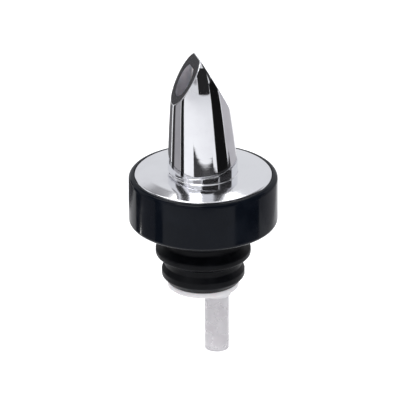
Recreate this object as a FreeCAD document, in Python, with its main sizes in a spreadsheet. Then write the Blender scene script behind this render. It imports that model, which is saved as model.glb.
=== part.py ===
"""Liquor pour spout: chrome nose and disc, black collar, ribbed cork, inner core and air tube.

Millimetres. +Z runs up the spout to its tip. The origin is the centre of the collar's underside,
which is the face that sits on the bottle's lip. The liquid leaves on the -X side, and air enters
on the +X side.
"""
import FreeCAD, Part
import math
import os
import Sketcher

Vector = FreeCAD.Vector

doc = FreeCAD.newDocument("PourSpout")

# ---------------------------------------------------------------- driving sizes

SIZES = [
    # collar
    ("collar_diameter", 35.0),
    ("collar_height", 12.0),
    ("collar_edge_round", 1.0),
    ("collar_floor", 2.0),
    ("collar_wall", 2.2),
    ("collar_rim", 1.2),
    ("recess_depth", 0.3),
    ("recess_gap", 0.5),
    ("hub_wall", 1.8),
    ("collar_rib_thickness", 1.2),
    ("collar_rib_count", 6),
    # disc, and the ring on it that holds the nose's foot
    ("disc_thickness", 2.2),
    ("disc_rise", 0.9),
    ("disc_edge_drop", 0.8),
    ("disc_shoulder_width", 4.0),
    ("disc_shoulder_round", 14.0),
    ("disc_edge_round", 0.5),
    ("foot_diameter", 16.2),
    ("foot_low_height", 0.47),
    ("foot_tilt", 10.0),
    ("foot_wall", 0.7),
    ("foot_root_round", 0.3),
    # nose
    ("nose_height", 29.7),
    ("nose_lean", 2.86),
    ("nose_taper", 0.3),
    ("nose_roundness", 6.5),
    ("nose_wall", 0.8),
    ("nose_overhang", 0.3),
    ("nose_edge_round", 0.4),
    ("ridge_drop", 0.7),
    ("tip_cap", 1.8),
    ("scoop_angle", 28.4),
    ("spigot_length", 8.9),
    ("spigot_wall", 0.8),
    # core: the stem inside the cork, its flange, boss and divider
    ("plug_wall", 0.7),
    ("plug_height", 7.5),
    ("divider_thickness", 1.0),
    ("divider_root", 1.0),
    ("flange_lip", 1.0),
    ("flange_thickness", 1.2),
    ("boss_wall", 0.43),
    ("boss_length", 3.0),
    ("socket_depth", 6.0),
    ("socket_shoulder", 1.0),
    ("socket_wall", 1.18),
    ("socket_web", 0.98),
    # air tube
    ("tube_diameter", 5.7),
    ("tube_wall", 0.85),
    ("tube_length", 20.0),
    # cork
    ("cork_length", 15.3),
    ("cork_wall", 1.7),
    ("cork_tip_wall", 0.98),
    ("bottom_rib_height", 0.63),
    ("middle_rib_height", 2.08),
    ("top_rib_height", 2.88),
    ("rib_land", 1.4),
    ("rib_slope", 1.3),
    ("first_rib_place", 2.35),
    ("last_rib_depth", 2.05),
    ("rib_round", 0.6),
    # clearances, and how far a cut runs past the solid it cuts
    ("running_gap", 0.1),
    ("collar_play", 0.1),
    ("push_gap", 0.02),
    ("divider_gap", 0.1),
    ("cut_margin", 1.0),
]

sheet = doc.addObject("Spreadsheet::Sheet", "Sizes")
for row, (alias, value) in enumerate(SIZES, start=1):
    sheet.set("A%d" % row, alias.replace("_", " "))
    sheet.set("B%d" % row, str(value))
    sheet.setAlias("B%d" % row, alias)
doc.recompute()


def size(alias):
    return "Sizes." + alias


def number(expression):
    """The present value of an expression, as a plain number."""
    value = sheet.evalExpression(expression)
    return float(getattr(value, "Value", value))


# ---------------------------------------------------------------- expressions shared by the pieces

COLLAR_RADIUS = "(Sizes.collar_diameter / 2)"
DISC_RADIUS = "(Sizes.collar_diameter / 2 - Sizes.collar_rim - Sizes.running_gap)"
DISC_TOP = "(Sizes.collar_height + Sizes.disc_rise)"
DISC_UNDERSIDE = "(Sizes.collar_height + Sizes.disc_rise - Sizes.disc_thickness)"
FOOT_RADIUS = "(Sizes.foot_diameter / 2)"
SPIGOT_RADIUS = "(Sizes.foot_diameter / 2 - Sizes.foot_wall)"
SPIGOT_BORE = "(Sizes.foot_diameter / 2 - Sizes.foot_wall - Sizes.spigot_wall)"
NOSE_RADIUS = "(Sizes.foot_diameter / 2 + Sizes.nose_overhang)"
PLUG_RADIUS = "(" + SPIGOT_BORE + " - Sizes.push_gap)"
CORE_BORE = "(" + PLUG_RADIUS + " - Sizes.plug_wall)"
CORK_BORE = "(" + SPIGOT_RADIUS + " + Sizes.push_gap)"
CORK_NECK = "(" + CORK_BORE + " + Sizes.cork_wall)"
# The collar's underside is recessed over the cork's top rib, so that its rim alone meets the lip.
RECESS_RADIUS = "(" + CORK_NECK + " + Sizes.top_rib_height + Sizes.recess_gap)"
CORK_BOTTOM = "(Sizes.recess_depth - Sizes.collar_play - Sizes.cork_length)"
FLANGE_RADIUS = "(" + SPIGOT_RADIUS + " + Sizes.flange_lip)"
FLANGE_BOTTOM = "(" + CORK_BOTTOM + " - Sizes.flange_thickness)"
BOSS_END = "(" + FLANGE_BOTTOM + " - Sizes.boss_length)"
SOCKET_END = "(" + BOSS_END + " + Sizes.socket_depth)"
TUBE_RADIUS = "(Sizes.tube_diameter / 2)"
TUBE_BORE = "(" + TUBE_RADIUS + " - Sizes.tube_wall)"
SOCKET_RADIUS = "(" + TUBE_RADIUS + " + Sizes.push_gap)"
# The socket lies against the stem's wall on the air side, and the tube's axis with it.
TUBE_OFFSET = "(" + SPIGOT_RADIUS + " - Sizes.socket_wall - " + SOCKET_RADIUS + ")"
TILT_RISE = "(Sizes.foot_diameter / 2 * tan(Sizes.foot_tilt * 1 deg))"
# The slanted seam between the nose and its ring, where it crosses the axis above the disc.
SEAM_HEIGHT = "(Sizes.foot_low_height + " + TILT_RISE + ")"
CUT_WIDTH = "(2 * Sizes.foot_diameter)"
LEAN = "tan(Sizes.nose_lean * 1 deg)"
APEX_HEIGHT = "(Sizes.nose_height + Sizes.ridge_drop)"
CAVITY_HEIGHT = "(Sizes.nose_height + Sizes.ridge_drop - Sizes.nose_wall - Sizes.tip_cap)"
DIVIDER_HEIGHT = "(" + CAVITY_HEIGHT + " - Sizes.divider_gap)"

# Shares of the bullet's height at which its round sections are drawn, closer where it turns in.
STATIONS = [0.0, 0.16, 0.32, 0.48, 0.62, 0.73, 0.82, 0.89, 0.94, 0.975]

SAME_POINT = 1e-6
LEAST_CUT = 0.01


def bullet_radius(foot_radius, share):
    """Radius of a blunt bullet at a share of its height: a slight cone that rounds in at the top."""
    cone = "(1 - Sizes.nose_taper * (%s))" % share
    dome = "sqrt(1 - pow(%s; Sizes.nose_roundness))" % share
    return "(%s * %s * %s)" % (foot_radius, cone, dome)


# ---------------------------------------------------------------- helpers


def new_body(name):
    """A body whose file takes this name."""
    body = doc.addObject("PartDesign::Body", name)
    body.Label = name
    return body


def new_sketch(body, name, role, height=None):
    """A sketch on one of the body's own origin planes, raised along the plane's normal."""
    plane = [item for item in body.Origin.OriginFeatures if item.Role == role][0]
    sketch = body.newObject("Sketcher::SketchObject", name)
    sketch.AttachmentSupport = [(plane, "")]
    sketch.MapMode = "FlatFace"
    if height is not None:
        sketch.setExpression("AttachmentOffset.Base.z", height)
    return sketch


def bind(sketch, constraint, expression):
    """Add a constraint that has a value, and tie the value to the sheet."""
    index = sketch.addConstraint(constraint)
    sketch.setExpression("Constraints[%d]" % index, expression)


def pin_point(sketch, geometry, position, across, up):
    """Hold a point at a distance across and up from the sketch's origin."""
    across_now = number(across)
    up_now = number(up)
    bind(sketch, Sketcher.Constraint("DistanceX", -1, 1, geometry, position, across_now), across)
    bind(sketch, Sketcher.Constraint("DistanceY", -1, 1, geometry, position, up_now), up)


def add_circle(sketch, across, up, radius):
    """A circle whose centre and radius follow the sheet."""
    centre = Vector(number(across), number(up), 0)
    circle = sketch.addGeometry(Part.Circle(centre, Vector(0, 0, 1), number(radius)), False)
    pin_point(sketch, circle, 3, across, up)
    bind(sketch, Sketcher.Constraint("Radius", circle, number(radius)), radius)


def corner_arc(before, corner, after, radius):
    """The arc that rounds a corner, from the side before it to the side after it."""
    back = (before - corner).normalize()
    on = (after - corner).normalize()
    half = back.getAngle(on) / 2
    inward = (back + on).normalize()
    centre = corner + inward * (radius / math.sin(half))
    first = corner + back * (radius / math.tan(half))
    last = corner + on * (radius / math.tan(half))
    return first, centre - inward * radius, last


def add_outline(sketch, corners):
    """A closed outline of straight sides. A corner is (across, up) or (across, up, round)."""
    count = len(corners)
    points = [Vector(number(corner[0]), number(corner[1]), 0) for corner in corners]
    arrive = list(points)
    leave = list(points)
    arcs = {}
    for i, corner in enumerate(corners):
        if len(corner) > 2:
            first, middle, last = corner_arc(
                points[i - 1], points[i], points[(i + 1) % count], number(corner[2])
            )
            arrive[i] = first
            leave[i] = last
            arcs[i] = Part.Arc(first, middle, last)
    sides = []
    for i in range(count):
        side = Part.LineSegment(leave[i], arrive[(i + 1) % count])
        sides.append(sketch.addGeometry(side, False))
    for i, corner in enumerate(corners):
        before = sides[i - 1]
        after = sides[i]
        if i not in arcs:
            sketch.addConstraint(Sketcher.Constraint("Coincident", before, 2, after, 1))
            pin_point(sketch, after, 1, corner[0], corner[1])
            continue
        arc = sketch.addGeometry(arcs[i], False)
        mark = sketch.addGeometry(Part.Point(points[i]), True)
        pin_point(sketch, mark, 1, corner[0], corner[1])
        sketch.addConstraint(Sketcher.Constraint("PointOnObject", mark, 1, before))
        sketch.addConstraint(Sketcher.Constraint("PointOnObject", mark, 1, after))
        near = 1 if sketch.getPoint(arc, 1).distanceToPoint(arrive[i]) < SAME_POINT else 2
        sketch.addConstraint(Sketcher.Constraint("Tangent", before, 2, arc, near))
        sketch.addConstraint(Sketcher.Constraint("Tangent", after, 1, arc, 3 - near))
        bind(sketch, Sketcher.Constraint("Radius", arc, number(corner[2])), corner[2])


def add_half_moon(sketch, radius, chord, side):
    """The part of a circle beyond a chord that stands off the axis, on the side +1 or -1."""
    radius_now = number(radius)
    chord_now = number(chord)
    reach = math.sqrt(radius_now**2 - chord_now**2)
    low = Vector(side * chord_now, -reach, 0)
    high = Vector(side * chord_now, reach, 0)
    arc = sketch.addGeometry(Part.Arc(low, Vector(side * radius_now, 0, 0), high), False)
    line = sketch.addGeometry(Part.LineSegment(low, high), False)
    at_low = 1 if sketch.getPoint(arc, 1).distanceToPoint(low) < SAME_POINT else 2
    sketch.addConstraint(Sketcher.Constraint("Coincident", line, 1, arc, at_low))
    sketch.addConstraint(Sketcher.Constraint("Coincident", line, 2, arc, 3 - at_low))
    sketch.addConstraint(Sketcher.Constraint("Coincident", arc, 3, -1, 1))
    sketch.addConstraint(Sketcher.Constraint("Vertical", line))
    bind(sketch, Sketcher.Constraint("Radius", arc, radius_now), radius)
    offset = "%d * %s" % (side, chord)
    bind(sketch, Sketcher.Constraint("DistanceX", -1, 1, line, 1, side * chord_now), offset)


def revolve(body, name, sketch):
    """Turn a profile on the XZ plane about the body's Z axis."""
    feature = body.newObject("PartDesign::Revolution", name)
    feature.Profile = (sketch, [""])
    feature.ReferenceAxis = (sketch, ["V_Axis"])
    feature.Angle = 360
    doc.recompute()
    return feature


def pad(body, name, sketch, length, downwards=False):
    """Extrude a sketch by a length."""
    feature = body.newObject("PartDesign::Pad", name)
    feature.Profile = sketch
    feature.Reversed = downwards
    feature.setExpression("Length", length)
    doc.recompute()
    return feature


def pocket(body, name, sketch, length, upwards=False, both_ways=False):
    """Cut a sketch through a length, and stop if nothing was cut."""
    before = body.Shape.Volume
    feature = body.newObject("PartDesign::Pocket", name)
    feature.Profile = sketch
    feature.Reversed = upwards
    if both_ways:
        feature.SideType = "Symmetric"
    feature.setExpression("Length", length)
    doc.recompute()
    if body.Shape.Volume > before - LEAST_CUT:
        raise RuntimeError(name + " cuts nothing")
    return feature


def loft(body, kind, name, sections):
    """A smooth body, or a smooth cut, through a row of sections."""
    feature = body.newObject(kind, name)
    feature.Profile = sections[0]
    feature.Sections = sections[1:]
    feature.Ruled = False
    doc.recompute()
    return feature


def round_edges(body, name, base, edges, radius):
    """Round the named edges of a feature."""
    if not edges:
        raise RuntimeError(name + " found no edges")
    feature = body.newObject("PartDesign::Fillet", name)
    feature.Base = (base, edges)
    feature.setExpression("Radius", radius)
    doc.recompute()
    return feature


# ---------------------------------------------------------------- collar


def make_collar():
    """A ribbed tray with a hub, closed by the disc. It turns on the nose's spigot."""
    body = new_body("collar")
    top = size("collar_height")
    ledge = "(" + DISC_UNDERSIDE + " - Sizes.collar_play)"
    bore = "(" + SPIGOT_RADIUS + " + Sizes.running_gap)"
    hub = "(" + bore + " + Sizes.hub_wall)"
    tray = "(" + COLLAR_RADIUS + " - Sizes.collar_wall)"
    rebate = "(" + DISC_RADIUS + " + Sizes.running_gap)"
    floor = size("collar_floor")
    section = new_sketch(body, "CollarSection", "XZ_Plane")
    add_outline(
        section,
        [
            (bore, size("recess_depth")),
            (RECESS_RADIUS, size("recess_depth")),
            (RECESS_RADIUS, "0"),
            (COLLAR_RADIUS, "0", size("collar_edge_round")),
            (COLLAR_RADIUS, top, size("collar_edge_round")),
            (rebate, top),
            (rebate, ledge),
            (tray, ledge),
            (tray, floor),
            (hub, floor),
            (hub, ledge),
            (bore, ledge),
        ],
    )
    revolve(body, "CollarRing", section)
    rib = new_sketch(body, "CollarRibSketch", "XY_Plane", floor)
    half = "Sizes.collar_rib_thickness / 2"
    inner = "(" + hub + " - Sizes.hub_wall / 2)"
    outer = "(" + tray + " + Sizes.collar_wall / 2)"
    add_outline(
        rib,
        [(inner, "-" + half), (outer, "-" + half), (outer, half), (inner, half)],
    )
    web = pad(body, "CollarRib", rib, "(" + ledge + " - Sizes.collar_floor)")
    ribs = body.newObject("PartDesign::PolarPattern", "CollarRibs")
    ribs.Originals = [web]
    ribs.Axis = (rib, ["N_Axis"])
    ribs.Angle = 360
    ribs.setExpression("Occurrences", size("collar_rib_count"))
    body.Tip = ribs
    doc.recompute()
    return body


# ---------------------------------------------------------------- disc with the foot ring


def make_top_disc():
    """The chrome disc that closes the collar, with the slant-topped ring that holds the nose."""
    body = new_body("top_disc")
    body.setExpression("Placement.Base.z", DISC_UNDERSIDE)
    thickness = size("disc_thickness")
    edge = "(Sizes.disc_thickness - Sizes.disc_edge_drop)"
    flat = "(" + DISC_RADIUS + " - Sizes.disc_shoulder_width)"
    ring_top = "(Sizes.disc_thickness + " + SEAM_HEIGHT + " + " + TILT_RISE + " + Sizes.cut_margin)"
    section = new_sketch(body, "DiscSection", "XZ_Plane")
    add_outline(
        section,
        [
            (SPIGOT_RADIUS, "0"),
            (DISC_RADIUS, "0"),
            (DISC_RADIUS, edge, size("disc_edge_round")),
            (flat, thickness, size("disc_shoulder_round")),
            (FOOT_RADIUS, thickness, size("foot_root_round")),
            (FOOT_RADIUS, ring_top),
            (SPIGOT_RADIUS, ring_top),
        ],
    )
    revolve(body, "DiscAndRing", section)
    slant = new_sketch(body, "RingSlant", "XZ_Plane")
    middle = "(Sizes.disc_thickness + " + SEAM_HEIGHT + ")"
    side = size("foot_diameter")
    above = "(" + ring_top + " + 2 * " + TILT_RISE + ")"
    add_outline(
        slant,
        [
            ("-" + side, middle + " - 2 * " + TILT_RISE),
            (side, middle + " + 2 * " + TILT_RISE),
            (side, above),
            ("-" + side, above),
        ],
    )
    pocket(body, "RingTop", slant, CUT_WIDTH, both_ways=True)
    return body


# ---------------------------------------------------------------- nose


def bullet_sections(body, prefix, foot_radius, height, shares):
    """Round sections of the leaning bullet, at these shares of its height above the disc."""
    sections = []
    for index, share in enumerate(shares):
        level = "(%s * %s)" % (share, height)
        sketch = new_sketch(body, "%s%d" % (prefix, index), "XY_Plane", level)
        add_circle(sketch, "-%s * %s" % (LEAN, level), "0", bullet_radius(foot_radius, str(share)))
        sections.append(sketch)
    return sections


def make_nose():
    """The hollow leaning bullet with its spigot, cut open on both sides of the ridge at its tip."""
    body = new_body("nose")
    body.setExpression("Placement.Base.z", DISC_TOP)
    outside = bullet_sections(body, "NoseOutside", NOSE_RADIUS, APEX_HEIGHT, STATIONS)
    loft(body, "PartDesign::AdditiveLoft", "Bullet", outside)

    # Below the slanted seam the bullet gives way to the spigot in the foot ring.
    below = new_sketch(body, "BelowSeam", "XZ_Plane")
    side = size("foot_diameter")
    seam = "(" + SEAM_HEIGHT + " + Sizes.push_gap)"
    under = "(-2 * " + TILT_RISE + ")"
    add_outline(
        below,
        [
            ("-" + side, seam + " - 2 * " + TILT_RISE),
            ("-" + side, under),
            (side, under),
            (side, seam + " + 2 * " + TILT_RISE),
        ],
    )
    cut = pocket(body, "Seam", below, CUT_WIDTH, both_ways=True)
    seam_limit = number(seam) + 2 * number(TILT_RISE)
    brim = []
    for index, edge in enumerate(cut.Shape.Edges, start=1):
        box = edge.BoundBox
        if box.ZMax < seam_limit and box.YLength > number(FOOT_RADIUS):
            brim.append("Edge%d" % index)
    round_edges(body, "NoseBrim", cut, brim, size("nose_edge_round"))
    spigot = new_sketch(body, "SpigotCircle", "XY_Plane", "-Sizes.spigot_length")
    add_circle(spigot, "0", "0", "(" + SPIGOT_RADIUS + " - Sizes.push_gap)")
    pad(body, "Spigot", spigot, "(Sizes.spigot_length + %s + %s)" % (SEAM_HEIGHT, TILT_RISE))

    # The hollow: a straight bore up past the seam, then the bullet's own shape less the wall.
    inside_radius = "(" + NOSE_RADIUS + " - Sizes.nose_wall)"
    hollow = bullet_sections(body, "NoseInside", inside_radius, CAVITY_HEIGHT, STATIONS[1:])
    loft(body, "PartDesign::SubtractiveLoft", "Cavity", hollow)
    bore_top = "(%s * %s)" % (STATIONS[1], CAVITY_HEIGHT)
    bore = new_sketch(body, "BoreCircle", "XY_Plane", bore_top)
    add_circle(bore, "0", "0", SPIGOT_BORE)
    pocket(body, "Bore", bore, "(" + bore_top + " + Sizes.spigot_length + Sizes.cut_margin)")

    # Two slanting cuts meet in the ridge at the tip and open both sides.
    ridge_up = size("nose_height")
    ridge_across = "(-1 * " + LEAN + " * " + ridge_up + ")"
    clear_up = "(" + APEX_HEIGHT + " + Sizes.cut_margin)"
    out = size("foot_diameter")
    drop = "(" + out + " / tan(Sizes.scoop_angle * 1 deg))"
    for name, hand in (("PourScoop", "-1"), ("AirScoop", "1")):
        far = "(" + ridge_across + " + " + hand + " * " + out + ")"
        sketch = new_sketch(body, name + "Profile", "XZ_Plane")
        add_outline(
            sketch,
            [
                (ridge_across, ridge_up),
                (far, "(" + ridge_up + " - " + drop + ")"),
                (far, clear_up),
                (ridge_across, clear_up),
            ],
        )
        pocket(body, name, sketch, CUT_WIDTH, both_ways=True)
    return body


# ---------------------------------------------------------------- core


def make_core():
    """The stem in the cork: bottom flange, tube boss, two ways and the tall divider."""
    body = new_body("core")
    shoulder = "(" + DISC_TOP + " - Sizes.spigot_length - Sizes.push_gap)"
    plug_top = "(" + shoulder + " + Sizes.plug_height)"
    section = new_sketch(body, "CoreSection", "XZ_Plane")
    add_outline(
        section,
        [
            ("0", FLANGE_BOTTOM),
            (FLANGE_RADIUS, FLANGE_BOTTOM),
            (FLANGE_RADIUS, CORK_BOTTOM),
            (SPIGOT_RADIUS, CORK_BOTTOM),
            (SPIGOT_RADIUS, shoulder),
            (PLUG_RADIUS, shoulder),
            (PLUG_RADIUS, plug_top),
            ("0", plug_top),
        ],
    )
    revolve(body, "Stem", section)

    boss = new_sketch(body, "BossCircle", "XY_Plane", FLANGE_BOTTOM)
    add_circle(boss, TUBE_OFFSET, "0", "(" + SOCKET_RADIUS + " + Sizes.boss_wall)")
    pad(body, "Boss", boss, size("boss_length"), downwards=True)

    half = "(Sizes.divider_thickness / 2)"
    web = "(Sizes.socket_web + " + SOCKET_RADIUS + " - " + TUBE_OFFSET + ")"
    liquid = new_sketch(body, "LiquidWay", "XY_Plane", plug_top)
    add_half_moon(liquid, CORE_BORE, "max(%s; %s)" % (half, web), -1)
    pocket(body, "LiquidBore", liquid, "(%s - %s + Sizes.cut_margin)" % (plug_top, FLANGE_BOTTOM))
    air = new_sketch(body, "AirWay", "XY_Plane", plug_top)
    add_half_moon(air, CORE_BORE, half, 1)
    air_floor = "(" + SOCKET_END + " + Sizes.socket_shoulder)"
    pocket(body, "AirBore", air, "(%s - %s)" % (plug_top, air_floor))

    socket = new_sketch(body, "SocketCircle", "XY_Plane", BOSS_END)
    add_circle(socket, TUBE_OFFSET, "0", SOCKET_RADIUS)
    pocket(body, "Socket", socket, size("socket_depth"), upwards=True)
    port = new_sketch(body, "AirPort", "XY_Plane", BOSS_END)
    add_circle(port, TUBE_OFFSET, "0", TUBE_BORE)
    through = "(Sizes.socket_depth + Sizes.socket_shoulder + Sizes.cut_margin)"
    pocket(body, "Port", port, through, upwards=True)

    # The divider rises from the stem into the nose and narrows with it.
    root = "(%s - Sizes.divider_root - %s)" % (plug_top, DISC_TOP)
    places = [(root, "0", CORE_BORE)]
    for share in STATIONS[1:]:
        level = "(%s * %s)" % (share, DIVIDER_HEIGHT)
        centre = "(-1 * %s * %s)" % (LEAN, level)
        hollow = bullet_radius("(" + NOSE_RADIUS + " - Sizes.nose_wall)", str(share))
        places.append((level, centre, "min(%s; %s)" % (hollow, SPIGOT_BORE)))
    sections = []
    for index, (level, centre, room) in enumerate(places):
        reach = "(%s - Sizes.divider_gap)" % room
        sketch = new_sketch(body, "Divider%d" % index, "XY_Plane", "(%s + %s)" % (DISC_TOP, level))
        near = centre + " - " + half
        far = centre + " + " + half
        add_outline(
            sketch,
            [(near, "-1 * " + reach), (far, "-1 * " + reach), (far, reach), (near, reach)],
        )
        sections.append(sketch)
    loft(body, "PartDesign::AdditiveLoft", "Divider", sections)
    return body


# ---------------------------------------------------------------- air tube


def make_air_tube():
    """The clear breather tube, pushed up into the boss."""
    body = new_body("air_tube")
    body.setExpression("Placement.Base.x", TUBE_OFFSET)
    body.setExpression("Placement.Base.z", SOCKET_END + " - Sizes.push_gap - Sizes.tube_length")
    ring = new_sketch(body, "TubeRing", "XY_Plane")
    add_circle(ring, "0", "0", TUBE_RADIUS)
    add_circle(ring, "0", "0", TUBE_BORE)
    pad(body, "Tube", ring, size("tube_length"))
    return body


# ---------------------------------------------------------------- cork


def make_cork():
    """The ribbed sleeve on the stem. Its three ribs stand higher towards the collar."""
    body = new_body("cork")
    body.setExpression("Placement.Base.z", CORK_BOTTOM)
    pitch = "((Sizes.cork_length - Sizes.first_rib_place - Sizes.last_rib_depth) / 2)"
    corners = [
        (CORK_BORE, "0"),
        ("(" + CORK_BORE + " + Sizes.cork_tip_wall)", "0", size("rib_round")),
    ]
    for index, rib in enumerate(("bottom", "middle", "top")):
        crest = "(%s + Sizes.%s_rib_height)" % (CORK_NECK, rib)
        middle = "(Sizes.first_rib_place + %d * %s)" % (index, pitch)
        low = "(" + middle + " - Sizes.rib_land / 2)"
        high = "(" + middle + " + Sizes.rib_land / 2)"
        if rib != "bottom":
            corners.append((CORK_NECK, "(" + low + " - Sizes.rib_slope)", size("rib_round")))
        corners.append((crest, low, size("rib_round")))
        corners.append((crest, high, size("rib_round")))
        if rib != "top":
            corners.append((CORK_NECK, "(" + high + " + Sizes.rib_slope)", size("rib_round")))
    corners.append((CORK_NECK, size("cork_length")))
    corners.append((CORK_BORE, size("cork_length")))
    section = new_sketch(body, "CorkSection", "XZ_Plane")
    add_outline(section, corners)
    revolve(body, "CorkSleeve", section)
    return body


# ---------------------------------------------------------------- build, test and write

pieces = [
    make_collar(),
    make_top_disc(),
    make_nose(),
    make_core(),
    make_air_tube(),
    make_cork(),
]
doc.recompute()

for item in doc.Objects:
    if "Invalid" in item.State or "Error" in item.State:
        raise RuntimeError("%s failed: %s" % (item.Name, item.State))
for piece in pieces:
    shape = piece.Shape
    if shape.isNull() or not shape.isValid() or len(shape.Solids) != 1:
        raise RuntimeError("%s is not one valid solid" % piece.Label)

os.makedirs("parts", exist_ok=True)
for piece in pieces:
    piece.Shape.exportStep("parts/%s.step" % piece.Label)
    box = piece.Shape.BoundBox
    print(
        "%-9s volume %8.1f  x %6.2f..%6.2f  z %6.2f..%6.2f"
        % (piece.Label, piece.Shape.Volume, box.XMin, box.XMax, box.ZMin, box.ZMax)
    )
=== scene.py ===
import math

import bmesh
import bpy
from mathutils import Matrix, Vector


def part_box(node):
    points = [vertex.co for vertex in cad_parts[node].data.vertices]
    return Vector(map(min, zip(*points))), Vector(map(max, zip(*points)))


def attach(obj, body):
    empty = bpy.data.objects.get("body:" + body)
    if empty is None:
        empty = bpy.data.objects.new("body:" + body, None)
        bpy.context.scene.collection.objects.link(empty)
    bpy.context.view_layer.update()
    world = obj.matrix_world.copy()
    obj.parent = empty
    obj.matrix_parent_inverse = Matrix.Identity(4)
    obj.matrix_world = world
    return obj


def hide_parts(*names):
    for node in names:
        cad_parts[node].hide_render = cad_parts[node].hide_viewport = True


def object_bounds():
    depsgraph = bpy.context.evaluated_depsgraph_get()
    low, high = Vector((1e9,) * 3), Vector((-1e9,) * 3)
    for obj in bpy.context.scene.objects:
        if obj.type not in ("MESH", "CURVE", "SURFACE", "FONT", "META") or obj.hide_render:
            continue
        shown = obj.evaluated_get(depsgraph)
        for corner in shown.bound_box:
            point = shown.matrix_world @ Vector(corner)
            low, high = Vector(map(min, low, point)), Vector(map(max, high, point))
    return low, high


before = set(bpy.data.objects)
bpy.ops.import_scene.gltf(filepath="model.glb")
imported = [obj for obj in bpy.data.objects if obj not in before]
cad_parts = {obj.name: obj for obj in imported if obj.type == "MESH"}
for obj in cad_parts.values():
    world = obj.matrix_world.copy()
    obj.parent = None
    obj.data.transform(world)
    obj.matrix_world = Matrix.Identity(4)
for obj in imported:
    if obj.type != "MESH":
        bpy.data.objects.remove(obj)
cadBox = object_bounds()
print("frame loaded")

mm = 0.001
scene = bpy.context.scene
scene.view_settings.view_transform = "Standard"
scene.view_settings.look = "None"

noseLow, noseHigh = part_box("nose")
discLow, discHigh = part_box("top_disc")
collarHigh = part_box("collar")[1]
corkLow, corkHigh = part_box("cork")
tubeLow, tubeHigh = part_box("air_tube")


# camera

camera = {
    "azimuth": -17.0,
    "elevation": 25.0,
    "distance": 3.0,
    "lens": 1150,
    "sensor": 36.0,
    "nearest": 0.01,
    "farthest": 20,
    "aimRight": -0.76 * mm,
    "aimUp": 4.80 * mm,
}


def viewAxes(azimuth, elevation):
    # right, up and towards the camera, for an azimuth measured from -Y
    a = math.radians(azimuth)
    e = math.radians(elevation)
    right = Vector((math.cos(a), math.sin(a), 0))
    up = Vector((-math.sin(a) * math.sin(e), math.cos(a) * math.sin(e), math.cos(e)))
    back = Vector((math.sin(a) * math.cos(e), -math.cos(a) * math.cos(e), math.sin(e)))
    return right, up, back


def makeCamera(spec):
    right, up, back = viewAxes(spec["azimuth"], spec["elevation"])
    data = bpy.data.cameras.new("camera")
    data.lens = spec["lens"]
    data.sensor_width = spec["sensor"]
    data.clip_start = spec["nearest"]
    data.clip_end = spec["farthest"]
    obj = bpy.data.objects.new("camera", data)
    target = right * spec["aimRight"] + up * spec["aimUp"]
    rows = (
        (right.x, up.x, back.x),
        (right.y, up.y, back.y),
        (right.z, up.z, back.z),
    )
    obj.matrix_world = Matrix.Translation(target + back * spec["distance"]) @ Matrix(rows).to_4x4()
    scene.collection.objects.link(obj)
    scene.camera = obj


makeCamera(camera)
print("camera placed")


# shader helpers

def newMaterial(name):
    material = bpy.data.materials.new(name)
    material.use_nodes = True
    tree = material.node_tree
    tree.nodes.clear()
    output = tree.nodes.new("ShaderNodeOutputMaterial")
    shader = tree.nodes.new("ShaderNodeBsdfPrincipled")
    tree.links.new(shader.outputs["BSDF"], output.inputs["Surface"])
    return material, tree, shader


def addNode(tree, kind, **settings):
    node = tree.nodes.new(kind)
    for key, value in settings.items():
        setattr(node, key, value)
    return node


def newGroup(name, inputs, outputs):
    # inputs is a list of (name, socket type, default), outputs of (name, socket type)
    group = bpy.data.node_groups.new(name, "ShaderNodeTree")
    for label, kind, default in inputs:
        socket = group.interface.new_socket(name=label, in_out="INPUT", socket_type=kind)
        socket.default_value = default
    for label, kind in outputs:
        group.interface.new_socket(name=label, in_out="OUTPUT", socket_type=kind)
    start = group.nodes.new("NodeGroupInput")
    end = group.nodes.new("NodeGroupOutput")
    return group, start, end


def useGroup(tree, group, **values):
    node = tree.nodes.new("ShaderNodeGroup")
    node.node_tree = group
    for label, value in values.items():
        node.inputs[label].default_value = value
    return node


def noise(tree, vector, detail=3.0, roughness=0.5):
    node = addNode(tree, "ShaderNodeTexNoise")
    node.inputs["Detail"].default_value = detail
    node.inputs["Roughness"].default_value = roughness
    tree.links.new(vector, node.inputs["Vector"])
    return node


def mapRange(tree, value, low, high, outLow, outHigh):
    node = addNode(tree, "ShaderNodeMapRange")
    node.inputs["From Min"].default_value = low
    node.inputs["From Max"].default_value = high
    node.inputs["To Min"].default_value = outLow
    node.inputs["To Max"].default_value = outHigh
    tree.links.new(value, node.inputs["Value"])
    return node


# shader groups that several finishes share

smudgeSpec = {"detail": 4.0, "roughness": 0.55, "low": 0.42, "high": 0.72}


def makeSmudgeGroup(spec):
    # soft cloudy handling marks: a mask and a roughness that follows it
    group, start, end = newGroup(
        "smudges",
        [
            ("Vector", "NodeSocketVector", (0, 0, 0)),
            ("Scale", "NodeSocketFloat", 120.0),
            ("Clean", "NodeSocketFloat", 0.05),
            ("Smudged", "NodeSocketFloat", 0.12),
        ],
        [("Roughness", "NodeSocketFloat"), ("Mask", "NodeSocketFloat")],
    )
    links = group.links
    cloud = noise(group, start.outputs["Vector"], spec["detail"], spec["roughness"])
    links.new(start.outputs["Scale"], cloud.inputs["Scale"])
    mask = mapRange(group, cloud.outputs["Fac"], spec["low"], spec["high"], 0.0, 1.0)
    mask.interpolation_type = "SMOOTHSTEP"
    spread = addNode(group, "ShaderNodeMath", operation="SUBTRACT")
    links.new(start.outputs["Smudged"], spread.inputs[0])
    links.new(start.outputs["Clean"], spread.inputs[1])
    rough = addNode(group, "ShaderNodeMath", operation="MULTIPLY_ADD")
    links.new(mask.outputs["Result"], rough.inputs[0])
    links.new(spread.outputs["Value"], rough.inputs[1])
    links.new(start.outputs["Clean"], rough.inputs[2])
    links.new(rough.outputs["Value"], end.inputs["Roughness"])
    links.new(mask.outputs["Result"], end.inputs["Mask"])
    return group


grainDetail = 2.0


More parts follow.
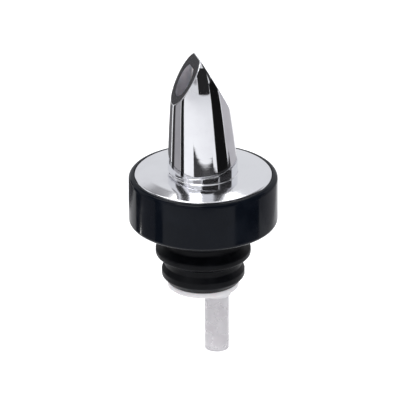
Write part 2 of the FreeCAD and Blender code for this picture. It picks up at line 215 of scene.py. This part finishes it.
def makeGrainGroup():
    # fine moulded or brushed relief: a height made of broad waviness and close grain
    group, start, end = newGroup(
        "moulded grain",
        [
            ("Vector", "NodeSocketVector", (0, 0, 0)),
            ("Wave Scale", "NodeSocketFloat", 60.0),
            ("Grain Scale", "NodeSocketFloat", 2500.0),
            ("Grain Share", "NodeSocketFloat", 0.3),
        ],
        [("Height", "NodeSocketFloat")],
    )
    links = group.links
    wave = noise(group, start.outputs["Vector"], grainDetail)
    links.new(start.outputs["Wave Scale"], wave.inputs["Scale"])
    grain = noise(group, start.outputs["Vector"], grainDetail)
    links.new(start.outputs["Grain Scale"], grain.inputs["Scale"])
    mix = addNode(group, "ShaderNodeMix", data_type="FLOAT")
    links.new(start.outputs["Grain Share"], mix.inputs["Factor"])
    links.new(wave.outputs["Fac"], mix.inputs["A"])
    links.new(grain.outputs["Fac"], mix.inputs["B"])
    links.new(mix.outputs["Result"], end.inputs["Height"])
    return group


scratchSpec = {"detail": 5.0, "roughness": 0.65, "low": 0.35, "high": 0.65}


def makeScratchGroup(spec):
    # hairline polishing marks, long round the part and close together up it
    group, start, end = newGroup(
        "hairlines",
        [
            ("Vector", "NodeSocketVector", (0, 0, 0)),
            ("Scale", "NodeSocketFloat", 900.0),
            ("Stretch", "NodeSocketFloat", 0.06),
        ],
        [("Lines", "NodeSocketFloat")],
    )
    links = group.links
    squeeze = addNode(group, "ShaderNodeCombineXYZ")
    squeeze.inputs["Z"].default_value = 1.0
    links.new(start.outputs["Stretch"], squeeze.inputs["X"])
    links.new(start.outputs["Stretch"], squeeze.inputs["Y"])
    scaled = addNode(group, "ShaderNodeVectorMath", operation="MULTIPLY")
    links.new(start.outputs["Vector"], scaled.inputs[0])
    links.new(squeeze.outputs["Vector"], scaled.inputs[1])
    lines = noise(group, scaled.outputs["Vector"], spec["detail"], spec["roughness"])
    links.new(start.outputs["Scale"], lines.inputs["Scale"])
    sharp = mapRange(group, lines.outputs["Fac"], spec["low"], spec["high"], 0.0, 1.0)
    links.new(sharp.outputs["Result"], end.inputs["Lines"])
    return group


smudgeGroup = makeSmudgeGroup(smudgeSpec)
grainGroup = makeGrainGroup()
scratchGroup = makeScratchGroup(scratchSpec)


# finishes

def startFinish(name, look):
    # what every finish has: colour and roughness that follow the handling marks, and a fine relief
    material, tree, shader = newMaterial(name)
    links = tree.links
    place = addNode(tree, "ShaderNodeTexCoord").outputs["Object"]
    smudge = useGroup(
        tree, smudgeGroup, Scale=look["smudgeScale"], Clean=look["clean"], Smudged=look["smudged"]
    )
    links.new(place, smudge.inputs["Vector"])
    links.new(smudge.outputs["Roughness"], shader.inputs["Roughness"])
    tint = addNode(tree, "ShaderNodeMix", data_type="RGBA")
    tint.inputs["A"].default_value = (*look["colour"], 1)
    tint.inputs["B"].default_value = (*look["worn"], 1)
    links.new(smudge.outputs["Mask"], tint.inputs["Factor"])
    links.new(tint.outputs["Result"], shader.inputs["Base Color"])
    grain = useGroup(tree, grainGroup)
    grain.inputs["Wave Scale"].default_value = look["waveScale"]
    grain.inputs["Grain Scale"].default_value = look["grainScale"]
    grain.inputs["Grain Share"].default_value = look["grainShare"]
    links.new(place, grain.inputs["Vector"])
    bump = addNode(tree, "ShaderNodeBump")
    bump.inputs["Strength"].default_value = look["bump"]
    bump.inputs["Distance"].default_value = look["bumpDepth"]
    links.new(grain.outputs["Height"], bump.inputs["Height"])
    links.new(bump.outputs["Normal"], shader.inputs["Normal"])
    return material, tree, shader, place, grain, bump


def makeChrome(name, look):
    # polished metal: the relief is crossed by hairlines
    material, tree, shader, place, grain, bump = startFinish(name, look)
    shader.inputs["Metallic"].default_value = 1.0
    scratch = useGroup(tree, scratchGroup, Scale=look["hairlineScale"], Stretch=look["hairlineStretch"])
    tree.links.new(place, scratch.inputs["Vector"])
    height = addNode(tree, "ShaderNodeMix", data_type="FLOAT")
    height.inputs["Factor"].default_value = look["hairlines"]
    tree.links.new(grain.outputs["Height"], height.inputs["A"])
    tree.links.new(scratch.outputs["Lines"], height.inputs["B"])
    tree.links.new(height.outputs["Result"], bump.inputs["Height"])
    return material


def makePlastic(name, look):
    material, tree, shader = startFinish(name, look)[:3]
    shader.inputs["IOR"].default_value = look["ior"]
    shader.inputs["Specular IOR Level"].default_value = look["specular"]
    if "subsurface" in look:
        shader.inputs["Subsurface Weight"].default_value = look["subsurface"]
        shader.inputs["Subsurface Radius"].default_value = look["subsurfaceRadius"]
        shader.inputs["Subsurface Scale"].default_value = look["subsurfaceScale"]
    if "transmission" in look:
        shader.inputs["Transmission Weight"].default_value = look["transmission"]
    return material


chromeLook = {
    "colour": (0.86, 0.865, 0.89),
    "worn": (0.80, 0.80, 0.83),
    "clean": 0.035,
    "smudged": 0.085,
    "smudgeScale": 140.0,
    "hairlineScale": 1600.0,
    "hairlineStretch": 0.05,
    "hairlines": 0.15,
    "waveScale": 90.0,
    "grainScale": 4000.0,
    "grainShare": 0.05,
    "bump": 0.25,
    "bumpDepth": 0.00004,
}
# the inside of the nose: rougher plating, with a lighter colour that is painted light where little light
# reaches
paintedLightInsideLook = dict(
    chromeLook, clean=0.45, smudged=0.6, colour=(0.95, 0.95, 0.99), worn=(0.88, 0.87, 0.93)
)
discLook = dict(chromeLook, clean=0.09, smudged=0.17, smudgeScale=110.0)
blackGlossLook = {
    "colour": (0.0035, 0.0050, 0.0085),
    "worn": (0.0055, 0.0075, 0.012),
    "ior": 1.46,
    "specular": 0.14,
    "clean": 0.10,
    "smudged": 0.19,
    "smudgeScale": 160.0,
    "waveScale": 110.0,
    "grainScale": 3200.0,
    "grainShare": 0.12,
    "bump": 0.30,
    "bumpDepth": 0.00005,
}
rubberLook = {
    "colour": (0.0028, 0.0032, 0.0045),
    "worn": (0.0065, 0.007, 0.009),
    "ior": 1.45,
    "specular": 0.13,
    "clean": 0.36,
    "smudged": 0.52,
    "smudgeScale": 260.0,
    "waveScale": 240.0,
    "grainScale": 3800.0,
    "grainShare": 0.4,
    "bump": 0.45,
    "bumpDepth": 0.00008,
}
naturalLook = {
    "colour": (0.80, 0.785, 0.79),
    "worn": (0.74, 0.71, 0.725),
    "ior": 1.5,
    "specular": 0.4,
    "clean": 0.32,
    "smudged": 0.45,
    "smudgeScale": 220.0,
    "waveScale": 160.0,
    "grainScale": 2600.0,
    "grainShare": 0.3,
    "bump": 0.25,
    "bumpDepth": 0.00005,
    "subsurface": 0.6,
    "subsurfaceRadius": (1.0, 0.85, 0.8),
    "subsurfaceScale": 0.0015,
}
tubeLook = {
    "colour": (0.86, 0.84, 0.86),
    "worn": (0.80, 0.765, 0.79),
    "ior": 1.45,
    "specular": 0.5,
    "clean": 0.22,
    "smudged": 0.38,
    "smudgeScale": 200.0,
    "waveScale": 150.0,
    "grainScale": 2600.0,
    "grainShare": 0.2,
    "bump": 0.3,
    "bumpDepth": 0.00006,
    "transmission": 0.35,
}

chrome = makeChrome("polished chrome", chromeLook)
discChrome = makeChrome("satin chrome", discLook)
# the inside finish's lighter colour is painted light, not a different metal
chromeInsidePaintedLight = makeChrome("plated inside with painted light", paintedLightInsideLook)
blackGloss = makePlastic("gloss black plastic", blackGlossLook)
rubber = makePlastic("satin black rubber", rubberLook)
natural = makePlastic("milky natural plastic", naturalLook)
tubeClear = makePlastic("clear tube plastic", tubeLook)
print("finishes made")


# mesh helpers

samePoint = 1e-7


def finishPiece(name, bm, materials, body, node, sharpAngle=30):
    bmesh.ops.recalc_face_normals(bm, faces=bm.faces)
    mesh = bpy.data.meshes.new(name)
    bm.to_mesh(mesh)
    bm.free()
    for material in materials:
        mesh.materials.append(material)
    mesh.shade_smooth()
    mesh.set_sharp_from_angle(angle=math.radians(sharpAngle))
    piece = bpy.data.objects.new(name, mesh)
    scene.collection.objects.link(piece)
    weighted = piece.modifiers.new("weighted normals", "WEIGHTED_NORMAL")
    weighted.keep_sharp = True
    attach(piece, body)
    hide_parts(node)
    print("made", name, len(mesh.polygons), "faces")


def roundCorners(corners, arcSteps):
    # corners are (radius, height) or (radius, height, round); gives the points of the rounded outline
    points = []
    count = len(corners)
    for i, corner in enumerate(corners):
        here = Vector(corner[:2])
        if len(corner) < 3:
            points.append(here)
            continue
        back = (Vector(corners[i - 1][:2]) - here).normalized()
        on = (Vector(corners[(i + 1) % count][:2]) - here).normalized()
        half = back.angle(on) / 2
        centre = here + (back + on).normalized() * (corner[2] / math.sin(half))
        first = here + back * (corner[2] / math.tan(half)) - centre
        last = here + on * (corner[2] / math.tan(half)) - centre
        for step in range(arcSteps + 1):
            spoke = first.normalized().slerp(last.normalized(), step / arcSteps)
            points.append(centre + spoke * corner[2])
    return points


def spinOutline(corners, steps, arcSteps):
    # a closed outline in the XZ plane, spun once round Z
    bm = bmesh.new()
    verts = [bm.verts.new((p.x, 0, p.y)) for p in roundCorners(corners, arcSteps)]
    edges = [bm.edges.new((verts[i - 1], verts[i])) for i in range(len(verts))]
    bmesh.ops.spin(
        bm,
        geom=verts + edges,
        cent=(0, 0, 0),
        axis=(0, 0, 1),
        angle=2 * math.pi,
        steps=steps,
        use_merge=True,
        use_duplicate=False,
    )
    bmesh.ops.remove_doubles(bm, verts=bm.verts, dist=samePoint)
    return bm


def nextRing(bm, ring):
    # extrudes a closed ring of corners and gives the new corners in the same order
    edges = [bm.edges.get((ring[i - 1], ring[i])) for i in range(len(ring))]
    made = bmesh.ops.extrude_edge_only(bm, edges=edges)["geom"]
    old = set(ring)
    partner = {}
    for item in made:
        if isinstance(item, bmesh.types.BMVert):
            for edge in item.link_edges:
                other = edge.other_vert(item)
                if other in old:
                    partner[other] = item
    return [partner[vert] for vert in ring]


# nose: a hollow leaning bullet, cut by two slanting planes that meet in the ridge at its tip

discRise = 0.9 * mm
discTop = collarHigh.z + discRise
seamGap = 0.02 * mm
noseSpec = {
    "segments": 144,
    "wallRings": 56,
    "brimSteps": 6,
    "hollowSteps": 40,
    "rimSegments": 4,
    "seamRounds": 12,
    "rimHalvings": 40,
    "footRadius": 8.4 * mm,
    "height": 30.4 * mm,
    "taper": 0.3,
    "roundness": 6.5,
    "lean": math.tan(math.radians(2.86)),
    "ridge": noseHigh.z - discTop - seamGap,
    "scoop": math.tan(math.radians(28.4)),
    "wall": 0.8 * mm,
    "tipCap": 1.8 * mm,
    "aboveRidge": 0.76 * mm,
    "seamLow": 0.49 * mm,
    "seamTilt": math.tan(math.radians(10)),
    "ringRadius": 8.1 * mm,
    "brimRound": 0.4 * mm,
    "spigotRadius": 7.38 * mm,
    "spigotChamfer": 0.2 * mm,
    "boreRadius": 6.6 * mm,
    "boreChamfer": 0.1 * mm,
    "hollowStart": 0.16,
    "hollowEnd": 0.975,
    "rimRound": 0.13 * mm,
    "rimStrip": 0.3 * mm,
}


def bulletRadius(share, footRadius):
    straight = footRadius * (1 - noseSpec["taper"] * share)
    return straight * math.sqrt(max(0, 1 - share ** noseSpec["roundness"]))


def seamAt(x):
    middle = noseSpec["seamLow"] + noseSpec["ringRadius"] * noseSpec["seamTilt"]
    return middle + x * noseSpec["seamTilt"]


def leaningPoint(angle, height, radius):
    shift = noseSpec["lean"] * height
    return Vector((radius * math.cos(angle) - shift, radius * math.sin(angle), height))


def wallPoint(angle, height, inset=0):
    radius = bulletRadius(height / noseSpec["height"], noseSpec["footRadius"]) - inset
    return leaningPoint(angle, height, radius)


def seamPoint(angle, above, inset):
    # the wall and the seam each depend on the other, so a few rounds bring them together
    height = above
    for _ in range(noseSpec["seamRounds"]):
        height = seamAt(wallPoint(angle, height, inset).x) + above
    return wallPoint(angle, height, inset)


def rimPoint(angle):
    # where the wall at this angle meets the slanting cuts
    ridgeX = -noseSpec["lean"] * noseSpec["ridge"]
    low, high = 0.0, noseSpec["ridge"]
    for _ in range(noseSpec["rimHalvings"]):
        middle = (low + high) / 2
        cut = noseSpec["ridge"] - abs(wallPoint(angle, middle).x - ridgeX) / noseSpec["scoop"]
        if middle < cut:
            low = middle
        else:
            high = middle
    return wallPoint(angle, (low + high) / 2)


def flatRing(radius, height):
    return lambda angle: Vector((radius * math.cos(angle), radius * math.sin(angle), height))


def noseRing(bm, ring, angles, place):
    ring = nextRing(bm, ring)
    for vert, angle in zip(ring, angles):
        vert.co = place(angle) + Vector((0, 0, discTop))
    return ring


def makeOutside(bm, rim, angles, spec):
    # down the wall from the mouths, round the brim, down the spigot and up into its bore
    ring = rim
    for i in range(1, spec["wallRings"] + 1):
        share = 1 - i / spec["wallRings"]

        def onWall(angle):
            base = seamPoint(angle, spec["brimRound"], 0).z
            return wallPoint(angle, base + (rimPoint(angle).z - base) * share)

        ring = noseRing(bm, ring, angles, onWall)
    for i in range(1, spec["brimSteps"] + 1):
        turn = math.radians(90 / spec["brimSteps"] * i)
        inset = spec["brimRound"] * (1 - math.cos(turn))
        above = spec["brimRound"] * (1 - math.sin(turn))
        ring = noseRing(bm, ring, angles, lambda angle: seamPoint(angle, above, inset))

    def onSeat(angle):
        x = spec["spigotRadius"] * math.cos(angle)
        return Vector((x, spec["spigotRadius"] * math.sin(angle), seamAt(x)))

    ring = noseRing(bm, ring, angles, onSeat)
    end = noseLow.z - discTop
    for radius, height in (
        (spec["spigotRadius"], end + spec["spigotChamfer"]),
        (spec["spigotRadius"] - spec["spigotChamfer"], end),
        (spec["boreRadius"] + spec["boreChamfer"], end),
        (spec["boreRadius"], end + spec["boreChamfer"]),
        (spec["boreRadius"], spec["hollowStart"] * hollowHeight),
    ):
        ring = noseRing(bm, ring, angles, flatRing(radius, height))
    return ring


def makeHollow(bm, ring, angles, spec):
    # a closed thimble inside the wall; gives its faces
    before = set(bm.faces)
    for i in range(spec["hollowSteps"] + 1):
        along = i / spec["hollowSteps"]
        share = spec["hollowStart"] + (spec["hollowEnd"] - spec["hollowStart"]) * along
        radius = bulletRadius(share, spec["footRadius"] - spec["wall"])
        height = share * hollowHeight
        ring = noseRing(bm, ring, angles, lambda angle: leaningPoint(angle, height, radius))
    last = [bm.edges.get((ring[i - 1], ring[i])) for i in range(len(ring))]
    bmesh.ops.edgeloop_fill(bm, edges=last)
    hollow = [face for face in bm.faces if face not in before]
    # the second finish, for the plated inside: a rougher chrome whose lighter colour is painted light
    # inside the hollow
    for face in hollow:
        face.material_index = 1
    return hollow


def openMouth(bm, hollow, point, normal):
    # cuts the thimble off past the plane; gives the hole's edges and the faces that are left
    parts = {item for face in hollow if face.is_valid for item in (face, *face.edges, *face.verts)}
    cut = bmesh.ops.bisect_plane(
        bm, geom=list(parts), dist=samePoint, plane_co=point, plane_no=normal, clear_outer=True
    )
    hole = [item for item in cut["geom_cut"] if isinstance(item, bmesh.types.BMEdge)]
    hollow = [face for face in hollow if face.is_valid]
    faces = [item for item in cut["geom"] if isinstance(item, bmesh.types.BMFace)]
    hollow += [face for face in faces if face not in hollow]
    return hole, hollow


def closeRim(bm, outer, hole, normal, strip):
    # an even strip along the wall's edge, then a flat fill in to the hole
    corners = {vert for edge in outer for vert in edge.verts}
    centre = sum((vert.co for vert in corners), Vector()) / len(corners)
    made = bmesh.ops.extrude_edge_only(bm, edges=outer)["geom"]
    inner = [item for item in made if isinstance(item, bmesh.types.BMEdge) and item.is_boundary]
    for vert in {vert for edge in inner for vert in edge.verts}:
        vert.co += (centre - vert.co).normalized() * strip
    holeEdges = [edge for edge in hole if edge.is_valid and edge.is_boundary]
    bmesh.ops.triangle_fill(bm, use_beauty=True, edges=inner + holeEdges, normal=normal)


def makeNose(spec):
    bm = bmesh.new()
    rim = bmesh.ops.create_circle(bm, segments=spec["segments"], radius=spec["footRadius"])["verts"]
    angles = [math.atan2(v.co.y, v.co.x) for v in rim]
    for vert, angle in zip(rim, angles):
        vert.co = rimPoint(angle) + Vector((0, 0, discTop))
    ring = makeOutside(bm, rim, angles, spec)
    hollow = makeHollow(bm, ring, angles, spec)

    # the two planes meet in the ridge, which gets an edge of its own
    ridgeX = -spec["lean"] * spec["ridge"]
    ridgePoint = Vector((ridgeX, 0, discTop + spec["ridge"]))
    ends = [max((v for v in rim if v.co.y * side > 0), key=lambda v: v.co.z) for side in (-1, 1)]
    ridgeEdge = bm.edges.new(ends)
    rimEdges = [bm.edges.get((rim[i - 1], rim[i])) for i in range(len(rim))] + [ridgeEdge]
    normals = {side: Vector((side, 0, spec["scoop"])).normalized() for side in (-1, 1)}
    hole = {}
    for side, normal in normals.items():
        hole[side], hollow = openMouth(bm, hollow, ridgePoint, normal)
    for side, normal in normals.items():
        outer = []
        for edge in rimEdges:
            middle = (edge.verts[0].co + edge.verts[1].co) / 2
            if edge == ridgeEdge or (middle.x - ridgeX) * side > 0:
                outer.append(edge)
        closeRim(bm, outer, hole[side], normal, spec["rimStrip"])
    bmesh.ops.bevel(
        bm,
        geom=[edge for edge in rimEdges if edge.is_valid],
        offset=spec["rimRound"],
        segments=spec["rimSegments"],
        profile=0.5,
        affect="EDGES",
        material=-1,
        clamp_overlap=False,
    )
    finishPiece("noseShell", bm, [chrome, chromeInsidePaintedLight], "spout", "nose")


hollowHeight = noseSpec["ridge"] + noseSpec["aboveRidge"] - noseSpec["wall"] - noseSpec["tipCap"]
makeNose(noseSpec)


# disc: a shallow dished cap with the ring that the nose sits in

discSpec = {
    "steps": 176,
    "arcSteps": 10,
    "edgeDrop": 0.8 * mm,
    "shoulder": 4.0 * mm,
    "shoulderRound": 14.0 * mm,
    "edgeRound": 0.5 * mm,
    "lowRound": 0.1 * mm,
    "ringRadius": 8.1 * mm,
    "ringBore": 7.4 * mm,
    "ringHeight": 1 * mm,
    "ringRound": 0.12 * mm,
    "rootRound": 0.3 * mm,
}


def makeDisc(spec):
    radius = discHigh.x
    low = discLow.z
    ringTop = discTop + spec["ringHeight"]
    bm = spinOutline(
        [
            (spec["ringBore"], low),
            (radius, low, spec["lowRound"]),
            (radius, discTop - spec["edgeDrop"], spec["edgeRound"]),
            (radius - spec["shoulder"], discTop, spec["shoulderRound"]),
            (spec["ringRadius"], discTop, spec["rootRound"]),
            (spec["ringRadius"], ringTop, spec["ringRound"]),
            (spec["ringBore"], ringTop),
        ],
        spec["steps"],
        spec["arcSteps"],
    )
    # tilt the ring's top to the seam
    for vert in bm.verts:
        if vert.co.z > discTop + spec["ringHeight"] / 2:
            vert.co.z += discTop + seamAt(vert.co.x) - seamGap - ringTop
    finishPiece("discCap", bm, [discChrome], "spout", "top_disc")


makeDisc(discSpec)


# collar: a deep tray with a hub and webs, black all over

collarSpec = {
    "steps": 176,
    "arcSteps": 8,
    "edgeRound": 1.0 * mm,
    "smallRound": 0.15 * mm,
    "trayRound": 0.45 * mm,
    "rebateRound": 0.08 * mm,
    "bore": 7.5 * mm,
    "hub": 9.3 * mm,
    "tray": 15.3 * mm,
    "rebate": 16.3 * mm,
    "ledge": 10.6 * mm,
    "floor": 2.0 * mm,
    "recess": 12.5 * mm,
    "recessDepth": 0.3 * mm,
    "webs": 6,
    "webThickness": 1.2 * mm,
    "webSink": 0.1 * mm,
}


def makeCollar(spec):
    small = spec["smallRound"]
    bm = spinOutline(
        [
            (spec["bore"], spec["recessDepth"], small),
            (spec["recess"], spec["recessDepth"]),
            (spec["recess"], 0, small),
            (collarHigh.x, 0, spec["edgeRound"]),
            (collarHigh.x, collarHigh.z, spec["edgeRound"]),
            (spec["rebate"], collarHigh.z, spec["rebateRound"]),
            (spec["rebate"], spec["ledge"]),
            (spec["tray"], spec["ledge"], small),
            (spec["tray"], spec["floor"], spec["trayRound"]),
            (spec["hub"], spec["floor"], spec["trayRound"]),
            (spec["hub"], spec["ledge"], small),
            (spec["bore"], spec["ledge"], small),
        ],
        spec["steps"],
        spec["arcSteps"],
    )
    length = spec["tray"] - spec["hub"] + spec["webSink"]
    height = spec["ledge"] - spec["floor"]
    middle = ((spec["tray"] + spec["hub"]) / 2, 0, spec["floor"] + height / 2 - spec["webSink"])
    place = Matrix.Translation(middle)
    for i in range(spec["webs"]):
        turn = Matrix.Rotation(2 * math.pi * i / spec["webs"], 4, "Z")
        web = bmesh.ops.create_cube(bm, size=1)["verts"]
        bmesh.ops.scale(bm, verts=web, vec=(length, spec["webThickness"], height))
        bmesh.ops.transform(bm, verts=web, matrix=turn @ place)
    finishPiece("collarTray", bm, [blackGloss], "collar", "collar")


makeCollar(collarSpec)


# cork: a soft sleeve whose three ribs stand higher towards the collar

corkSpec = {
    "steps": 160,
    "arcSteps": 7,
    "sharpAngle": 50,
    "bore": 7.42 * mm,
    "neck": 9.12 * mm,
    "tip": 8.4 * mm,
    "ribs": (9.75 * mm, 11.2 * mm, 12.0 * mm),
    "land": 1.4 * mm,
    "slope": 1.3 * mm,
    "first": 2.35 * mm,
    "pitch": 5.45 * mm,
    "round": 0.6 * mm,
    "topRound": 0.15 * mm,
}


def makeCork(spec):
    low, high = corkLow.z, corkHigh.z
    corners = [(spec["bore"], low), (spec["tip"], low, spec["round"])]
    last = len(spec["ribs"]) - 1
    for i, crest in enumerate(spec["ribs"]):
        middle = low + spec["first"] + i * spec["pitch"]
        under = middle - spec["land"] / 2
        over = middle + spec["land"] / 2
        if i > 0:
            corners.append((spec["neck"], under - spec["slope"], spec["round"]))
        corners.append((crest, under, spec["round"]))
        corners.append((crest, over, spec["round"]))
        if i < last:
            corners.append((spec["neck"], over + spec["slope"], spec["round"]))
    corners += [(spec["neck"], high, spec["topRound"]), (spec["bore"], high)]
    bm = spinOutline(corners, spec["steps"], spec["arcSteps"])
    finishPiece("corkSleeve", bm, [rubber], "spout", "cork", spec["sharpAngle"])


makeCork(corkSpec)


# air tube: a short length of clear tube

tubeSpec = {"steps": 96, "arcSteps": 4, "wall": 0.85 * mm, "endRound": 0.12 * mm}


def makeTube(spec):
    radius = (tubeHigh.x - tubeLow.x) / 2
    low, high = tubeLow.z, tubeHigh.z
    bore = radius - spec["wall"]
    bm = spinOutline(
        [
            (bore, low, spec["endRound"]),
            (radius, low, spec["endRound"]),
            (radius, high, spec["endRound"]),
            (bore, high, spec["endRound"]),
        ],
        spec["steps"],
        spec["arcSteps"],
    )
    bmesh.ops.translate(bm, verts=bm.verts, vec=((tubeHigh.x + tubeLow.x) / 2, 0, 0))
    finishPiece("breatherTube", bm, [tubeClear], "air_tube", "air_tube")


makeTube(tubeSpec)


# core: the stem, taken from the frame's own solid, with its corners joined and its flats made whole

coreSpec = {"joinWithin": 1e-6, "flatWithin": math.radians(0.5)}


def makeCore(spec):
    bm = bmesh.new()
    bm.from_mesh(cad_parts["core"].data)
    bmesh.ops.remove_doubles(bm, verts=bm.verts, dist=spec["joinWithin"])
    bmesh.ops.dissolve_limit(
        bm, angle_limit=spec["flatWithin"], verts=bm.verts, edges=bm.edges, use_dissolve_boundaries=False
    )
    finishPiece("stemCore", bm, [natural], "spout", "core")


makeCore(coreSpec)


# floor, cards and lights

floorSpec = {
    "drop": 26 * mm,
    "size": 4.0,
    "colour": (0.93, 0.93, 0.935),
    "cloudy": (0.9114, 0.9114, 0.9163),
    "cloudScale": 6.0,
    "roughness": 0.8,
    "glow": 0.06,
    "seenGlow": 0.36,
}


def makeFloor(spec):
    bm = bmesh.new()
    bmesh.ops.create_grid(bm, x_segments=1, y_segments=1, size=spec["size"])
    bmesh.ops.translate(bm, verts=bm.verts, vec=(0, 0, cadBox[0][2] - spec["drop"]))
    mesh = bpy.data.meshes.new("floor")
    bm.to_mesh(mesh)
    bm.free()
    floor = bpy.data.objects.new("floor", mesh)
    material, tree, shader = newMaterial("pale floor")
    place = addNode(tree, "ShaderNodeTexCoord").outputs["Object"]
    shader.inputs["Roughness"].default_value = spec["roughness"]
    # it glows more to the camera, so that the backdrop stays white
    ray = addNode(tree, "ShaderNodeLightPath")
    glow = mapRange(tree, ray.outputs["Is Camera Ray"], 0.0, 1.0, spec["glow"], spec["seenGlow"])
    tree.links.new(glow.outputs["Result"], shader.inputs["Emission Strength"])
    cloud = noise(tree, place)
    cloud.inputs["Scale"].default_value = spec["cloudScale"]
    tint = addNode(tree, "ShaderNodeMix", data_type="RGBA")
    tint.inputs["A"].default_value = (*spec["colour"], 1)
    tint.inputs["B"].default_value = (*spec["cloudy"], 1)
    tree.links.new(cloud.outputs["Fac"], tint.inputs["Factor"])
    tree.links.new(tint.outputs["Result"], shader.inputs["Base Color"])
    shader.inputs["Emission Color"].default_value = (*spec["colour"], 1)
    # clear from below, so that the underside can be looked at
    side = addNode(tree, "ShaderNodeNewGeometry")
    seen = mapRange(tree, side.outputs["Backfacing"], 0.0, 1.0, 1.0, 0.0)
    tree.links.new(seen.outputs["Result"], shader.inputs["Alpha"])
    mesh.materials.append(material)
    scene.collection.objects.link(floor)


makeFloor(floorSpec)


def direction(turn, elevation):
    # turn is measured from the camera's side, positive to its right
    return viewAxes(camera["azimuth"] + turn, elevation)[2]


def facing(place, target):
    return (place - target).to_track_quat("Z", "Y").to_matrix().to_4x4()


aim = Vector((0, 0, 20 * mm))

cardBlack = (0.001, 0.001, 0.001, 1)
cardTint = (0.97, 0.95, 1, 1)

# each card: turn and elevation from the part, distance, width, height, brightness, soft edge
cards = {
    "rightFlag": (69, -8, 130 * mm, 100 * mm, 120 * mm, 0.006, 1 * mm),
    "rightGrey": (122, -12, 150 * mm, 170 * mm, 110 * mm, 0.52, 8 * mm),
    "leftFlag": (-68, -12, 130 * mm, 31 * mm, 120 * mm, 0.012, 2 * mm),
    "leftPale": (-92, -14, 150 * mm, 88 * mm, 110 * mm, 0.36, 6 * mm),
    "leftFarFlag": (-113, -14, 130 * mm, 40 * mm, 110 * mm, 0.03, 6 * mm),
    "leftBackGrey": (-160, -24, 160 * mm, 190 * mm, 70 * mm, 0.15, 8 * mm),
    "leftBackDark": (-134, 4, 150 * mm, 40 * mm, 40 * mm, 0.07, 6 * mm),
    "lowFrontDark": (4, -21, 65 * mm, 74 * mm, 11 * mm, 0.05, 1 * mm),
    "lowRightDark": (66, -22, 65 * mm, 84 * mm, 9 * mm, 0.03, 1 * mm),
    "frontMidGrey": (-20, 18, 290 * mm, 150 * mm, 70 * mm, 0.32, 20 * mm),
    "frontRightDark": (24, 25, 300 * mm, 290 * mm, 270 * mm, 0.02, 2 * mm),
    "rightDark": (82, 30, 300 * mm, 300 * mm, 330 * mm, 0.03, 20 * mm),
    "leftDark": (-84, 36, 300 * mm, 200 * mm, 240 * mm, 0.05, 40 * mm),
    "frontStreak": (-54, 24, 280 * mm, 26 * mm, 260 * mm, 1.15, 4 * mm),
    "backLeftFlag": (-150, 44, 300 * mm, 170 * mm, 120 * mm, 0.16, 30 * mm),
    "backRightFlag": (140, 44, 300 * mm, 170 * mm, 120 * mm, 0.16, 30 * mm),
}


def makeCard(name, spec):
    turn, elevation, distance, width, height, brightness, soft = spec
    place = aim + direction(turn, elevation) * distance
    bm = bmesh.new()
    bmesh.ops.create_grid(bm, x_segments=1, y_segments=1, size=0.5)
    bmesh.ops.scale(bm, verts=bm.verts, vec=(width, height, 1))
    mesh = bpy.data.meshes.new(name)
    bm.to_mesh(mesh)
    bm.free()
    card = bpy.data.objects.new(name, mesh)
    card.matrix_world = Matrix.Translation(place) @ facing(place, aim)
    material, tree, shader = newMaterial(name)
    shader.inputs["Base Color"].default_value = cardBlack
    shader.inputs["Specular IOR Level"].default_value = 0
    shader.inputs["Roughness"].default_value = 1
    shader.inputs["Emission Color"].default_value = cardTint
    shader.inputs["Emission Strength"].default_value = brightness
    apart = addNode(tree, "ShaderNodeSeparateXYZ")
    tree.links.new(addNode(tree, "ShaderNodeTexCoord").outputs["Object"], apart.inputs["Vector"])
    cover = addNode(tree, "ShaderNodeMath", operation="MULTIPLY")
    for i, (axis, reach) in enumerate((("X", width / 2), ("Y", height / 2))):
        size = addNode(tree, "ShaderNodeMath", operation="ABSOLUTE")
        tree.links.new(apart.outputs[axis], size.inputs[0])
        fade = mapRange(tree, size.outputs["Value"], reach - soft, reach, 1.0, 0.0)
        tree.links.new(fade.outputs["Result"], cover.inputs[i])
    tree.links.new(cover.outputs["Value"], shader.inputs["Alpha"])
    mesh.materials.append(material)
    scene.collection.objects.link(card)
    card.visible_camera = False
    card.visible_diffuse = False
    card.visible_shadow = False


for cardName, cardSpec in cards.items():
    makeCard(cardName, cardSpec)

lightTint = (1.0, 0.995, 0.985)

# each light: turn, elevation, distance, width, height, watts
lights = {
    "key": (-30, 58, 0.55, 0.30, 0.26, 0.7),
    "overBack": (180, 54, 0.50, 0.30, 0.16, 0.5),
    "leftFill": (-110, 62, 0.50, 0.20, 0.20, 0.3),
    "leftStrip": (-107, -32, 0.136, 0.004, 0.012, 0.0030),
}


def makeLight(name, spec):
    turn, elevation, distance, width, height, watts = spec
    data = bpy.data.lights.new(name, "AREA")
    data.shape = "RECTANGLE"
    data.size = width
    data.size_y = height
    data.energy = watts
    data.color = lightTint
    place = aim + direction(turn, elevation) * distance
    obj = bpy.data.objects.new(name, data)
    obj.matrix_world = Matrix.Translation(place) @ facing(place, aim)
    obj.visible_camera = False
    scene.collection.objects.link(obj)


for lightName, lightSpec in lights.items():
    makeLight(lightName, lightSpec)

worldSpec = {"colour": (0.96, 0.97, 1.0), "strength": 0.78}
world = bpy.data.worlds.new("studio")
world.use_nodes = True
background = world.node_tree.nodes["Background"]
background.inputs["Color"].default_value = (*worldSpec["colour"], 1)
background.inputs["Strength"].default_value = worldSpec["strength"]
scene.world = world
print("stage and lights set")
